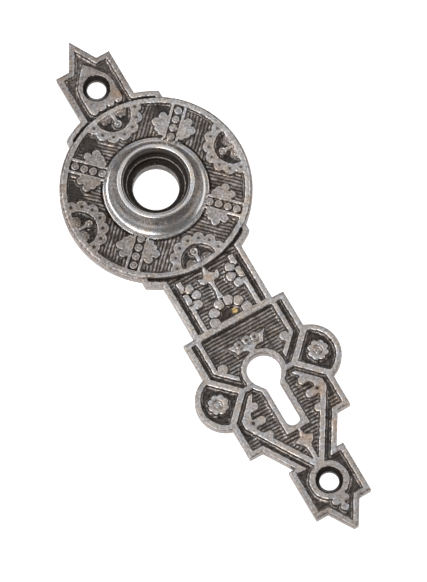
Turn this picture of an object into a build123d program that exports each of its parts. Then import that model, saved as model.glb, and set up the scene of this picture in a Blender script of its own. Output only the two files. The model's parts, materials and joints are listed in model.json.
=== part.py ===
from build123d import *

import os
from math import atan2, degrees, sqrt

# Cast iron door backplate, lying on its flat back: X across, Y up the door, Z out of the door.
# The origin is on the spindle axis, in the plane of the back. All sizes are in millimetres.

# Heights above the back
EDGE_TOP = 3.8
DISC_TOP = 4.8
RELIEF = 1.3
EDGE_CHAMFER = 0.4
BACK_HOLLOW = 1.0
BACK_LIP = 2.4
BACK_WALL = 2.0

# Number of sides given to the smallest round forms
ROUND_SIDES = 8

# Flat border, and the channel and rail that run inside it
BORDER = 1.85
CHANNEL = 2.1
RAIL = 1.35

# Rosette disc with its stepped tabs
DISC_RADIUS = 31.75
DISC_STEP = 0.85
DISC_BORDER = 1.6
TAB_REACH = 2.05
TOP_TAB_HALF = 17.5
LOW_TAB_HALF = 19.6

# Hub that carries the knob shank
HUB_TOP = 12.0
HUB_FOOT_RADIUS = 17.2
HUB_FOOT_STEP = 0.4
HUB_RIM_RADIUS = 12.75
HUB_RIM_WIDTH = 1.35
HUB_RIM_CHAMFER = 0.4
HUB_MOUTH = 1.1
SOCKET_RADIUS = 10.7
SOCKET_DEPTH = 4.8
SOCKET_LEDGE = 1.2
LEDGE_DROP = 2.9
SPINDLE_RADIUS = 7.6
HUB_BACK_RADIUS = 11.0

# Top finial
TOP_FINIAL_HALF = 10.0
TOP_FINIAL_LENGTH = 17.35
TOP_NOTCH_HALF = 5.2
TOP_POINT = 9.2
TOP_SCREW_RISE = 7.95
PEAR_HALF = 6.0
PEAR_DROP = 6.5
PEAR_TIP = 9.5
PEAR_SCALLOPS = 4

# Neck and lock panel
NECK_HALF = 14.6
NECK_LENGTH = 19.3
NECK_BAR_ABOVE = 0.55
NECK_BAR_BELOW = 1.65
PANEL_HALF = 18.75
KEYHOLE_DROP = 20.05
EAR_DROP = 2.9
PANEL_DROP = 20.9
PANEL_FOOT_HALF = 14.0
TAPER_LENGTH = 10.1
TAPER_END_HALF = 7.8

# Keyhole
KEYHOLE_RADIUS = 5.65
KEYHOLE_SLOT_HALF = 2.55
KEYHOLE_SLOT_DROP = 21.1
KEYHOLE_RIM = 1.65
KEYHOLE_SLOPE_TOP = 3.3
KEYHOLE_SLOPE_END = 6.1

# Round ears and the crossed frame that closes them off
EAR_RADIUS = 10.15
EAR_OFFSET = 15.9
EAR_APEX = 11.0
FRAME_BAR = 1.9
FRAME_REACH = 9.5
CROSSBAR_HALF = 0.85
ROSETTE_OFFSET = 18.7
ROSETTE_RADIUS = 2.45
ROSETTE_PETALS = 8
ROSETTE_PETAL_RADIUS = 1.0

# Bottom finial
LOW_FINIAL_HALF = 10.2
LOW_FINIAL_LENGTH = 18.1
LOW_NOTCH_HALF = 5.8
LOW_POINT = 8.2
LOW_BLUNT = 0.8
LOW_SCREW_DROP = 8.65
RING_RADIUS = 6.5

# Wood screws
SCREW_RADIUS = 3.2
SCREW_HEAD_RADIUS = 4.6
SCREW_HEAD_ANGLE = 82

# Scalloped fans, one in each quarter of the disc
DISC_QUARTERS = 4
FAN_INSET = 0.4
FAN_RADIUS = 8.0
FAN_LOBES = 7
FAN_LOBE_PITCH = 27
FAN_LOBE_RADIUS = 2.0
FAN_LOBE_CENTRE = 7.8
HALF_MOON_RADIUS = 6.1
FAN_BUD_DEPTH = 3.7
FAN_BUD_RADIUS = 1.2
FAN_STEM = 1.0

# Beaded rays on the diagonals of the disc, measured inwards from the border
RAY_LENGTH = 12.5
RAY_RAIL = 0.9
RAY_RAIL_OFFSET = 2.1
RAY_BEADS = 4
RAY_BEAD_RADIUS = 1.25
RAY_BEAD_PITCH = 3.1
RAY_BEAD_INSET = 1.8
LEAF_LOBES = ((3.4, 10.4, 1.05), (4.8, 9.3, 1.1), (6.0, 7.4, 1.35), (4.3, 4.9, 1.3))
LEAF_CORE = ((2.1, 10.8), (4.8, 9.3), (6.0, 7.4), (4.3, 4.9), (2.1, 4.2))

# Half flower on the bar below the neck
FLOWER_PETALS = 6
FLOWER_RADIUS = 6.0
FLOWER_FIRST_ANGLE = 10
FLOWER_PETAL_RADIUS = 1.75

# Half rosettes on the sides of the neck, measured from the bar and from the channel
SIDE_ROSETTE_RISE = 12.3
SIDE_ROSETTE_RADIUS = 4.1
SIDE_PETALS = 3
SIDE_PETAL_SPREAD = 90
SIDE_PETAL_RADIUS = 1.6
SIDE_EYE_LENGTH = 3.6
SIDE_EYE_WIDTH = 1.9
SIDE_CROWN_RISE = 4.6
RAIL_HEIGHT = 10.2

# Lilies, as half outlines measured from the tip of the bud
NECK_LILY = (
    (1.0, -3.1), (2.2, -4.2), (3.8, -3.4), (3.5, -5.3), (2.3, -6.3),
    (0.9, -6.1), (0.5, -7.6), (0.6, -10.3), (1.05, -12.7),
)
LILY_OVERLAP = 0.5
LOW_LILY = ((0.9, -3.2), (3.2, -4.1), (2.1, -6.0), (0.9, -6.9), (0.6, -13.6))

# Crown above the keyhole, measured from the top of the keyhole rim
CROWN_RISE = 3.9
CROWN_BEADS = 3
CROWN_BEAD_RADIUS = 1.6
CROWN_BEAD_PITCH = 2.9
CROWN_WING = (
    (0.0, 1.1), (5.2, 0.6), (7.2, 1.1), (5.3, -1.2), (4.6, -2.9), (2.6, -2.4), (0.9, -3.4), (1.3, -5.3),
)
KNOB_RADIUS = 1.6
KNOB_OFFSET = 11.6
KNOB_RISE = 9.6
TAIL_END_HALF = 8.4

# Heart below the ears, measured from the line of the ears and from the end of the taper
HEART_HALF = 15.0
HEART_TOP_HALF = 8.7
HEART_TOP_DROP = 2.3
HEART_SHOULDER_DROP = 8.9
HEART_BAND = 3.3
HEART_ARM = 1.8
HEART_LOBES = ((9.0, -6.3, 1.3, 10.9), (9.0, -11.4, 1.35, 12.0), (9.2, -16.9, 1.3, 10.4))

# Trefoil drop below the lower screw
DROP_GAP = 7.4
DROP_LOBE_OFFSET = 1.75
DROP_LOBE_RADIUS = 1.2
DROP_BUD_RADIUS = 1.15
DROP_LENGTH = 2.9

# Places worked out from the sizes
disc_rise_radius = DISC_RADIUS - DISC_STEP
disc_field_radius = disc_rise_radius - DISC_BORDER
disc_ground = DISC_TOP - RELIEF
tab_radius = DISC_RADIUS + TAB_REACH
top_shoulder = DISC_RADIUS + TOP_FINIAL_LENGTH
top_tip = top_shoulder + TOP_POINT
top_screw = DISC_RADIUS + TOP_SCREW_RISE
neck_end = -DISC_RADIUS - NECK_LENGTH
keyhole_y = neck_end - KEYHOLE_DROP
ear_y = keyhole_y - EAR_DROP
panel_end = ear_y - PANEL_DROP
taper_end = panel_end - TAPER_LENGTH
low_screw = taper_end - LOW_SCREW_DROP
low_shoulder = taper_end - LOW_FINIAL_LENGTH
low_tip = low_shoulder - LOW_POINT
fan_y = disc_field_radius - FAN_INSET
slot_end = keyhole_y - KEYHOLE_SLOT_DROP
keyhole_rim_radius = KEYHOLE_RADIUS + KEYHOLE_RIM
neck_bar_top = neck_end + NECK_BAR_ABOVE
frame_step = FRAME_BAR * sqrt(2)
taper_slope = TAPER_LENGTH / (PANEL_FOOT_HALF - TAPER_END_HALF)


def height_on_circle(radius, x):
    """Height of a circle about the origin at a distance x from the centre line."""
    return sqrt(radius**2 - x**2)


def taper_height(x, inset):
    """Height at a distance x from the centre line of a line inside the tapered edge, parallel to it."""
    return panel_end + taper_slope * (x - PANEL_FOOT_HALF) + inset * sqrt(1 + taper_slope**2)


def arc_about(centre, radius, start, end):
    """Arc about a centre between two points that lie on its circle."""
    start_angle = degrees(atan2(start[1] - centre[1], start[0] - centre[0]))
    end_angle = degrees(atan2(end[1] - centre[1], end[0] - centre[0]))
    CenterArc(centre, radius, start_angle, end_angle - start_angle)


def half_face(points):
    """Face between a half outline and its mirror image across the centre line."""
    with BuildLine() as edge:
        Polyline(*points)
        mirror(about=Plane.YZ)
    make_face(edge.edges())


def right_face(points):
    """Face inside a closed outline."""
    with BuildLine() as edge:
        Polyline(*points, close=True)
    make_face(edge.edges())


def lily_points(half_outline, tip_y):
    """Half outline of a lily hung from the tip of its bud, closed on the centre line."""
    foot = tip_y + half_outline[-1][1]
    return [(0, tip_y), *((x, tip_y + y) for x, y in half_outline), (0, foot)]


# Outline of the plate, drawn down its right side and mirrored
top_tab_start = (TOP_FINIAL_HALF, height_on_circle(tab_radius, TOP_FINIAL_HALF))
top_tab_end = (TOP_TAB_HALF, height_on_circle(tab_radius, TOP_TAB_HALF))
disc_start = (TOP_TAB_HALF, height_on_circle(DISC_RADIUS, TOP_TAB_HALF))
disc_end = (LOW_TAB_HALF, -height_on_circle(DISC_RADIUS, LOW_TAB_HALF))
low_tab_start = (LOW_TAB_HALF, -height_on_circle(tab_radius, LOW_TAB_HALF))
low_tab_end = (NECK_HALF, -height_on_circle(tab_radius, NECK_HALF))
ear_join = height_on_circle(EAR_RADIUS, PANEL_HALF - EAR_OFFSET)
ear_start = (PANEL_HALF, ear_y + ear_join)
ear_end = (PANEL_HALF, ear_y - ear_join)

with BuildSketch() as outline:
    with BuildLine():
        Polyline((0, top_tip), (TOP_NOTCH_HALF, top_shoulder), (TOP_FINIAL_HALF, top_shoulder), top_tab_start)
        arc_about((0, 0), tab_radius, top_tab_start, top_tab_end)
        Line(top_tab_end, disc_start)
        arc_about((0, 0), DISC_RADIUS, disc_start, disc_end)
        Line(disc_end, low_tab_start)
        arc_about((0, 0), tab_radius, low_tab_start, low_tab_end)
        Polyline(low_tab_end, (NECK_HALF, neck_end), (PANEL_HALF, neck_end), ear_start)
        arc_about((EAR_OFFSET, ear_y), EAR_RADIUS, ear_start, ear_end)
        Polyline(
            ear_end,
            (PANEL_HALF, panel_end),
            (PANEL_FOOT_HALF, panel_end),
            (TAPER_END_HALF, taper_end),
            (LOW_FINIAL_HALF, taper_end),
            (LOW_FINIAL_HALF, low_shoulder),
            (LOW_NOTCH_HALF, low_shoulder),
            (LOW_BLUNT, low_tip),
            (0, low_tip),
        )
        mirror(about=Plane.YZ)
    make_face()

# Keyhole, and the flat rim that stands round it
with BuildSketch() as keyhole:
    with Locations((0, keyhole_y)):
        Circle(KEYHOLE_RADIUS)
    with Locations((0, (keyhole_y + slot_end + KEYHOLE_SLOT_HALF) / 2)):
        Rectangle(2 * KEYHOLE_SLOT_HALF, keyhole_y - slot_end - KEYHOLE_SLOT_HALF)
    with Locations((0, slot_end + KEYHOLE_SLOT_HALF)):
        Circle(KEYHOLE_SLOT_HALF)
    half_face(
        [
            (0, keyhole_y - KEYHOLE_SLOPE_TOP),
            (height_on_circle(KEYHOLE_RADIUS, KEYHOLE_SLOPE_TOP), keyhole_y - KEYHOLE_SLOPE_TOP),
            (KEYHOLE_SLOT_HALF, keyhole_y - KEYHOLE_SLOPE_END),
            (0, keyhole_y - KEYHOLE_SLOPE_END),
        ]
    )

with BuildSketch() as keyhole_rim:
    with Locations((0, keyhole_y)):
        Circle(keyhole_rim_radius)
    with Locations((0, (keyhole_y + slot_end - KEYHOLE_RIM) / 2)):
        Rectangle(2 * (KEYHOLE_SLOT_HALF + KEYHOLE_RIM), keyhole_y - slot_end + KEYHOLE_RIM)

# Scalloped fan at the top of the disc, with a bud in its half moon
fan_span = (FAN_LOBES - 1) * FAN_LOBE_PITCH
with BuildSketch() as fan:
    with Locations((0, fan_y)):
        Circle(FAN_RADIUS)
        with PolarLocations(FAN_LOBE_CENTRE, FAN_LOBES, -90 - fan_span / 2, fan_span, endpoint=True):
            RegularPolygon(FAN_LOBE_RADIUS, ROUND_SIDES)
        Circle(HALF_MOON_RADIUS, mode=Mode.SUBTRACT)
        with Locations((0, -FAN_BUD_DEPTH)):
            RegularPolygon(FAN_BUD_RADIUS, ROUND_SIDES)
        with Locations((0, -FAN_BUD_DEPTH / 2)):
            Rectangle(FAN_STEM, FAN_BUD_DEPTH)

# Beaded ray with a leaf on each side, drawn along the Y axis
with BuildSketch() as ray:
    with Locations((0, disc_field_radius - RAY_LENGTH / 2)):
        with GridLocations(2 * RAY_RAIL_OFFSET, 1, 2, 1):
            Rectangle(RAY_RAIL, RAY_LENGTH)
    with Locations((0, disc_field_radius - RAY_BEAD_INSET - (RAY_BEADS - 1) * RAY_BEAD_PITCH / 2)):
        with GridLocations(1, RAY_BEAD_PITCH, 1, RAY_BEADS):
            RegularPolygon(RAY_BEAD_RADIUS, ROUND_SIDES)
    right_face([(x, disc_field_radius - inset) for x, inset in LEAF_CORE])
    for lobe_x, lobe_inset, lobe_radius in LEAF_LOBES:
        with Locations((lobe_x, disc_field_radius - lobe_inset)):
            RegularPolygon(lobe_radius, ROUND_SIDES)
    mirror(about=Plane.YZ)

# Recessed ground of the disc, with the ornament left standing in it
with BuildSketch(Plane.XY.offset(DISC_TOP)) as disc_recess:
    Circle(disc_field_radius)
    Circle(HUB_RIM_RADIUS, mode=Mode.SUBTRACT)
    with PolarLocations(0, DISC_QUARTERS):
        add(fan.sketch, mode=Mode.SUBTRACT)
    with PolarLocations(0, DISC_QUARTERS, 180 / DISC_QUARTERS):
        add(ray.sketch, mode=Mode.SUBTRACT)

# Ornament of the top finial: a pear-shaped boss round the screw with a scalloped foot
pear_foot = top_screw - PEAR_DROP
pear_scallop = PEAR_HALF / PEAR_SCALLOPS
with BuildSketch() as top_ornament:
    with Locations((0, top_screw)):
        Circle(PEAR_HALF)
    with Locations((0, (top_screw + pear_foot) / 2)):
        Rectangle(2 * PEAR_HALF, PEAR_DROP)
    with Locations((0, pear_foot)):
        with GridLocations(2 * pear_scallop, 1, PEAR_SCALLOPS, 1):
            RegularPolygon(pear_scallop, ROUND_SIDES)
    with BuildLine():
        Spline((0, top_screw + PEAR_TIP), (PEAR_HALF / 2, top_screw + PEAR_HALF), (PEAR_HALF, top_screw))
        Polyline((PEAR_HALF, top_screw), (0, top_screw), (0, top_screw + PEAR_TIP))
    make_face()
    mirror(about=Plane.YZ)

# Ornament of the neck: half flower on the bar, half rosettes on the rails and a hanging lily
neck_rail_outer = NECK_HALF - BORDER - CHANNEL
side_rosette = (neck_rail_outer, neck_bar_top + SIDE_ROSETTE_RISE)
side_first_angle = 180 - SIDE_PETAL_SPREAD / 2
flower_range = 180 - 2 * FLOWER_FIRST_ANGLE
with BuildSketch() as neck_ornament:
    with Locations((0, neck_bar_top)):
        with PolarLocations(FLOWER_RADIUS, FLOWER_PETALS, FLOWER_FIRST_ANGLE, flower_range, endpoint=True):
            RegularPolygon(FLOWER_PETAL_RADIUS, ROUND_SIDES)
    with Locations((neck_rail_outer - RAIL / 2, neck_bar_top + RAIL_HEIGHT / 2)):
        Rectangle(RAIL, RAIL_HEIGHT)
    with Locations(side_rosette):
        with PolarLocations(
            SIDE_ROSETTE_RADIUS, SIDE_PETALS, side_first_angle, SIDE_PETAL_SPREAD, endpoint=True,
        ):
            RegularPolygon(SIDE_PETAL_RADIUS, ROUND_SIDES)
        with Locations((-SIDE_EYE_WIDTH / 2, 0), (-SIDE_EYE_WIDTH / 2, SIDE_CROWN_RISE)):
            Rectangle(SIDE_EYE_WIDTH, SIDE_EYE_LENGTH)
    mirror(about=Plane.YZ)
    half_face(lily_points(NECK_LILY, -disc_rise_radius + LILY_OVERLAP))

# Crossed frame between the ears, with the short bars that reach the keyhole
frame_root = EAR_APEX - frame_step
with BuildSketch() as frame:
    right_face(
        [
            (0, ear_y + CROSSBAR_HALF),
            (frame_root + CROSSBAR_HALF, ear_y + CROSSBAR_HALF),
            (frame_root + FRAME_REACH, ear_y + FRAME_REACH),
            (EAR_APEX + FRAME_REACH, ear_y + FRAME_REACH),
            (EAR_APEX, ear_y),
            (EAR_APEX + FRAME_REACH, ear_y - FRAME_REACH),
            (frame_root + FRAME_REACH, ear_y - FRAME_REACH),
            (frame_root + CROSSBAR_HALF, ear_y - CROSSBAR_HALF),
            (0, ear_y - CROSSBAR_HALF),
        ]
    )
    mirror(about=Plane.YZ)

# Ornament above the keyhole: side rails that end in commas, and a beaded crown
panel_rail_outer = PANEL_HALF - BORDER - CHANNEL
panel_rail_inner = panel_rail_outer - RAIL
channel_step = CHANNEL * sqrt(2)
rail_step = RAIL * sqrt(2)
rail_turn = frame_root - channel_step
tail_turn = rail_turn - rail_step
crown_y = keyhole_y + keyhole_rim_radius + CROWN_RISE
with BuildSketch() as panel_ornament:
    right_face(
        [
            (panel_rail_inner, neck_end),
            (panel_rail_outer, neck_end),
            (panel_rail_outer, ear_y + panel_rail_outer - rail_turn),
            (TAIL_END_HALF, ear_y + TAIL_END_HALF - rail_turn),
            (TAIL_END_HALF, ear_y + TAIL_END_HALF - tail_turn),
            (panel_rail_inner, ear_y + panel_rail_inner - tail_turn),
        ]
    )
    with Locations((KNOB_OFFSET, ear_y + KNOB_RISE)):
        RegularPolygon(KNOB_RADIUS, ROUND_SIDES)
    right_face([*((x, crown_y + y) for x, y in CROWN_WING), (0, crown_y - CROWN_RISE)])
    mirror(about=Plane.YZ)
    with Locations((0, crown_y)):
        with GridLocations(CROWN_BEAD_PITCH, 1, CROWN_BEADS, 1):
            RegularPolygon(CROWN_BEAD_RADIUS, ROUND_SIDES)

# Rosettes of the ears
with BuildSketch() as rosettes:
    with Locations((ROSETTE_OFFSET, ear_y), (-ROSETTE_OFFSET, ear_y)):
        Circle(ROSETTE_RADIUS)
        with PolarLocations(ROSETTE_RADIUS, ROSETTE_PETALS):
            RegularPolygon(ROSETTE_PETAL_RADIUS, ROUND_SIDES)

# Ornament below the ears: a heart-shaped band with inward lobes and a lily
heart_inner = HEART_HALF - HEART_BAND
arm_outer = BORDER + CHANNEL
arm_inner = arm_outer + HEART_ARM
with BuildSketch() as heart:
    right_face(
        [
            (HEART_TOP_HALF, ear_y - HEART_TOP_DROP),
            (HEART_HALF, ear_y - HEART_SHOULDER_DROP),
            (HEART_HALF, taper_height(HEART_HALF, arm_outer)),
            (0, taper_height(0, arm_outer)),
            (0, taper_height(0, arm_inner)),
            (heart_inner, taper_height(heart_inner, arm_inner)),
            (heart_inner, ear_y - HEART_SHOULDER_DROP),
            (HEART_TOP_HALF - RAIL, ear_y - HEART_TOP_DROP),
        ]
    )
    for lobe_x, lobe_rise, lobe_radius, lobe_root in HEART_LOBES:
        with Locations((lobe_x, ear_y + lobe_rise)):
            RegularPolygon(lobe_radius, ROUND_SIDES)
        with Locations(((lobe_x + lobe_root) / 2, ear_y + lobe_rise)):
            Rectangle(lobe_root - lobe_x, 2 * lobe_radius)
    mirror(about=Plane.YZ)
    half_face(lily_points(LOW_LILY, slot_end - KEYHOLE_RIM + LILY_OVERLAP))

# Ornament of the bottom finial: ring round the screw and a trefoil drop
with BuildSketch() as low_ornament:
    with Locations((0, low_screw)):
        Circle(RING_RADIUS)
        with Locations((-DROP_LOBE_OFFSET, -DROP_GAP), (DROP_LOBE_OFFSET, -DROP_GAP)):
            RegularPolygon(DROP_LOBE_RADIUS, ROUND_SIDES)
        with Locations((0, -DROP_GAP)):
            Rectangle(2 * DROP_LOBE_OFFSET, 2 * DROP_LOBE_RADIUS)
        with Locations((0, -DROP_GAP - DROP_LENGTH)):
            RegularPolygon(DROP_BUD_RADIUS, ROUND_SIDES)
        with Locations((0, -DROP_GAP - DROP_LENGTH / 2)):
            Rectangle(DROP_BUD_RADIUS, DROP_LENGTH)
        with Locations((0, -RING_RADIUS)):
            Rectangle(2 * DROP_LOBE_OFFSET, 2 * (DROP_GAP - RING_RADIUS))

# Recessed ground of the plate, inside its border, with the ornament left standing in it
with BuildSketch(Plane.XY.offset(EDGE_TOP)) as plate_recess:
    add(outline.sketch)
    offset(amount=-BORDER, kind=Kind.INTERSECTION, mode=Mode.REPLACE)
    Circle(disc_rise_radius, mode=Mode.SUBTRACT)
    with Locations((0, neck_end + (NECK_BAR_ABOVE - NECK_BAR_BELOW) / 2)):
        Rectangle(2 * PANEL_HALF, NECK_BAR_ABOVE + NECK_BAR_BELOW, mode=Mode.SUBTRACT)
    for ornament in (
        top_ornament, neck_ornament, panel_ornament, frame, rosettes, heart, keyhole_rim, low_ornament,
    ):
        add(ornament.sketch, mode=Mode.SUBTRACT)

# Hollow of the back, inside its lip and clear of the bosses round the holes
with BuildSketch() as back_recess:
    add(outline.sketch)
    offset(amount=-BACK_LIP, kind=Kind.INTERSECTION, mode=Mode.REPLACE)
    with Locations((0, top_screw), (0, low_screw)):
        Circle(SCREW_HEAD_RADIUS + BACK_WALL, mode=Mode.SUBTRACT)
    with Locations((0, keyhole_y)):
        Circle(KEYHOLE_RADIUS + BACK_WALL, mode=Mode.SUBTRACT)
    with Locations((0, (keyhole_y + slot_end - BACK_WALL) / 2)):
        Rectangle(
            2 * (KEYHOLE_SLOT_HALF + BACK_WALL), keyhole_y - slot_end + BACK_WALL, mode=Mode.SUBTRACT,
        )
    Circle(HUB_BACK_RADIUS, mode=Mode.SUBTRACT)

# Section of the hub: concave foot, chamfered rim and stepped socket
rim_inner = HUB_RIM_RADIUS - HUB_RIM_WIDTH
rim_base = HUB_TOP - HUB_RIM_CHAMFER
foot_top = disc_ground + HUB_FOOT_STEP
socket_floor = HUB_TOP - SOCKET_DEPTH
ledge_radius = SOCKET_RADIUS - SOCKET_LEDGE
ledge_floor = socket_floor - LEDGE_DROP
with BuildSketch(Plane.XZ) as hub_section:
    with BuildLine():
        Polyline(
            (SPINDLE_RADIUS, 0), (HUB_BACK_RADIUS, 0), (HUB_BACK_RADIUS, BACK_HOLLOW),
            (HUB_FOOT_RADIUS, BACK_HOLLOW), (HUB_FOOT_RADIUS, foot_top),
        )
        EllipticalCenterArc(
            (HUB_FOOT_RADIUS, rim_base), HUB_FOOT_RADIUS - HUB_RIM_RADIUS, rim_base - foot_top,
            start_angle=180, arc_size=90,
        )
        Polyline(
            (HUB_RIM_RADIUS, rim_base), (HUB_RIM_RADIUS - HUB_RIM_CHAMFER, HUB_TOP),
            (rim_inner, HUB_TOP), (SOCKET_RADIUS, HUB_TOP - HUB_MOUTH), (SOCKET_RADIUS, socket_floor),
            (ledge_radius, socket_floor), (ledge_radius, ledge_floor), (SPINDLE_RADIUS, ledge_floor),
            (SPINDLE_RADIUS, 0),
        )
    make_face()

with BuildPart() as backplate:
    extrude(outline.sketch, amount=EDGE_TOP)
    chamfer(backplate.faces().sort_by(Axis.Z)[-1].edges(), EDGE_CHAMFER)
    with BuildSketch() as disc:
        Circle(disc_rise_radius)
    extrude(amount=DISC_TOP)
    chamfer(backplate.faces().sort_by(Axis.Z)[-1].edges(), EDGE_CHAMFER)
    extrude(back_recess.sketch, amount=BACK_HOLLOW, mode=Mode.SUBTRACT)
    extrude(plate_recess.sketch, amount=-RELIEF, mode=Mode.SUBTRACT)
    extrude(disc_recess.sketch, amount=-RELIEF, mode=Mode.SUBTRACT)
    revolve(hub_section.sketch, axis=Axis.Z)
    with BuildSketch() as spindle_bore:
        Circle(SPINDLE_RADIUS)
    extrude(amount=HUB_TOP, mode=Mode.SUBTRACT)
    with BuildSketch(Plane.XY.offset(ledge_floor)) as ledge_bore:
        Circle(ledge_radius)
    extrude(amount=HUB_TOP, mode=Mode.SUBTRACT)
    extrude(keyhole.sketch, amount=EDGE_TOP, mode=Mode.SUBTRACT)
    with Locations((0, top_screw, EDGE_TOP), (0, low_screw, EDGE_TOP)):
        CounterSinkHole(SCREW_RADIUS, SCREW_HEAD_RADIUS, EDGE_TOP, SCREW_HEAD_ANGLE)

backplate.part.label = "backplate"

os.makedirs("parts", exist_ok=True)
export_step(backplate.part, "parts/backplate.step")
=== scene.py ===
import json
from math import cos, pi, radians, sin, sqrt

import bmesh
import bpy
import numpy as np
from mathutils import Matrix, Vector
from mathutils.geometry import delaunay_2d_cdt


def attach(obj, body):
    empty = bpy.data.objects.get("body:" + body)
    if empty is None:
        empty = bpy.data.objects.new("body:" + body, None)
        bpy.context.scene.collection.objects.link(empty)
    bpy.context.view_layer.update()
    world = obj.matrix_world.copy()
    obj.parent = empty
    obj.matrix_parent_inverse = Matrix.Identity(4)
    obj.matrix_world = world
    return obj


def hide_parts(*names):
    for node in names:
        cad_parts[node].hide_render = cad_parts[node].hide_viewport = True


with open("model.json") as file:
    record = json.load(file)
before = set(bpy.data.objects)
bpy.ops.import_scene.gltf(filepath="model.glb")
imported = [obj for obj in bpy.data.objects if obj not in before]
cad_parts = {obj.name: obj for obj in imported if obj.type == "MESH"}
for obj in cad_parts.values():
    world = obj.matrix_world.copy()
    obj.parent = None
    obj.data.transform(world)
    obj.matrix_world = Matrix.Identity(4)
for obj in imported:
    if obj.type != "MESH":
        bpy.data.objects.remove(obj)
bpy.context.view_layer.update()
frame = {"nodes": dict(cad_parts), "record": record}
scene = bpy.context.scene

# Sizes are in millimetres, and become metres when the mesh is made
MM = 0.001
NODE = "backplate"
BODY = "root"

# Height maps: step between samples, margin round the plate, value for nothing
STEP = 0.1
MARGIN = 1.5
EMPTY = -99.0
LAST_CELL = 1.001
MAIN_LEVELS = 4
DISTANCE_REACH = 30
DISTANCE_BLUR = 3
EDGE_TOLERANCE = 1e-6
LEVEL_TOLERANCE = 1e-3
LEAST_AREA = 1e-5
LEAST_HEIGHT = 0.05

# Uneven cast surface: size and seed of each field of lumps, and their heights
CAST_NOISES = {
    "broad_lumps": (4.5, 11),
    "fine_lumps": (1.8, 12),
    "rough_ground": (0.7, 13),
    "hatch_wave": (3, 14),
    "hatch_height": (1.6, 15),
    "edge_wave": (1.3, 16),
    "edge_ripple": (0.6, 17),
}
BROAD_LUMPS = 0.08
FINE_LUMPS = 0.05
DISC_LUMPS = 0.035
ROUGH_GROUND = 0.16
ROUGH_START = (0.35, 0.8)
EDGE_WAVE = 0.08
EDGE_RIPPLE = 0.04

# Walls of the relief: steep, then sloped, then hollow, and narrower in tight places
WALL_REACH = 0.2
WALL_SHARE = 0.36
FOOT_SLOPE = radians(30)
FOOT_ROUND = 0.14
FOOT_TIGHT = 0.55
OPEN_SHARES = (0.3, 0.5)
OPEN_WINDOW = 9
OUTLINE_ROUND = 0.5
HOLE_ROUND = 0.3

# Disc and hub, with depth, middle and width of the groove about it
DISC_RISE = 30.9
DISC_STEP = (-0.2, 0.1)
DISC_FIELD = 29.3
HUB_FOOT = 17.2
HUB_FOOT_TOP = 3.9
HUB_RIM = 12.75
HUB_RIM_BASE = 11.6
HUB_JOIN = 15.6
HUB_EDGE = 16.6
HUB_LIP = (0.36, 0.6)
HUB_LIP_SLOPE = radians(36)
HUB_GROOVE = (0.3, 0.65, 0.3)
HUB_SIDES = 200
HUB_WOBBLES = [(0.02, 3, 1), (0.015, 7, 2)]
COVE_RINGS = 14
COVE_POWER = 0.6
COVE_GAP = 0.05
SOCKET = 10.7
SOCKET_FLOOR = 7.2
LEDGE = 9.5
BORE_TOP = 4.3

# Turned rim, socket and ledge of the hub: radius, height and wear of each ring, where the values below zero
# paint shade into the socket
HUB_RINGS = [
    (12.72, 11.72, 1.3), (12.6, 11.88, 1.4), (12.4, 11.97, 1.4), (12.15, 12, 1.4), (11.75, 11.99, 1.4),
    (11.5, 11.9, 1.3), (11.3, 11.7, 1.1), (11.05, 11.3, 0.8), (10.85, 10.95, 0.3), (10.74, 10.6, 0),
    # Socket and bore rings below zero: painted shade
    (SOCKET, 10.2, -0.2), (SOCKET, 8.7, -0.3), (SOCKET, SOCKET_FLOOR + 0.3, -0.3),
    (10.6, SOCKET_FLOOR + 0.08, -0.3), (10.4, SOCKET_FLOOR, -0.2),
    (9.75, SOCKET_FLOOR, 0.1), (9.6, SOCKET_FLOOR - 0.04, 0.5),
    (LEDGE, SOCKET_FLOOR - 0.2, 0.4), (LEDGE, 5.7, -0.3), (LEDGE, BORE_TOP + 0.3, -0.3),
    (9.4, BORE_TOP + 0.05, -0.3), (9.2, BORE_TOP, -0.2), (7.9, BORE_TOP, 0), (7.7, BORE_TOP - 0.05, 0.4),
]
BORE_RINGS = [(BORE_TOP - 0.25, 0.3), (2, 0)]

# Screw holes and keyhole
SCREW_HEAD = 4.6
SCREW_SLOPE = radians(41)
SCREW_BOSS = 0.5
SCREW_MARGIN = 0.3
KEYHOLE_MIDDLE = -78
KEYHOLE_REACH = (7.5, 16)
KEYHOLE_MOST = (12, 40)
SAME_RADIUS = 0.1

# Ornament of the disc, drawn once for the upper quarter and for a ray along Y
QUARTERS = (0, 90, 180, 270)
DIAGONALS = (45, 135, 225, 315)
FAN_Y = 28.9
FAN_LOBES = [(7.8 * sin(radians(27 * k)), FAN_Y - 7.8 * cos(radians(27 * k))) for k in range(-3, 4)]
FAN_LOBE = 2
HALF_MOON = 6.1
HALF_MOON_MARGIN = 0.2
FAN_BUD = (0, 25.2)
FAN_BUD_RADIUS = 1.25
FAN_SCROLLS = [(-2.75, FAN_Y), (2.75, FAN_Y)]
FAN_SCROLL = 2.25
FAN_SCROLL_SHARE = 0.75
FAN_SCROLL_EDGE = (-0.1, 0.6)
CURL = (0.35, 0.55 * FAN_SCROLL, 0.25)
BEADS = [(0, 27.5 - 3.1 * k) for k in range(4)]
BEAD = 1.3
LEAF_LOBES = [(3.4, 18.9, 1.1), (4.8, 20, 1.15), (6, 21.9, 1.4), (4.3, 24.4, 1.35)]

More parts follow.
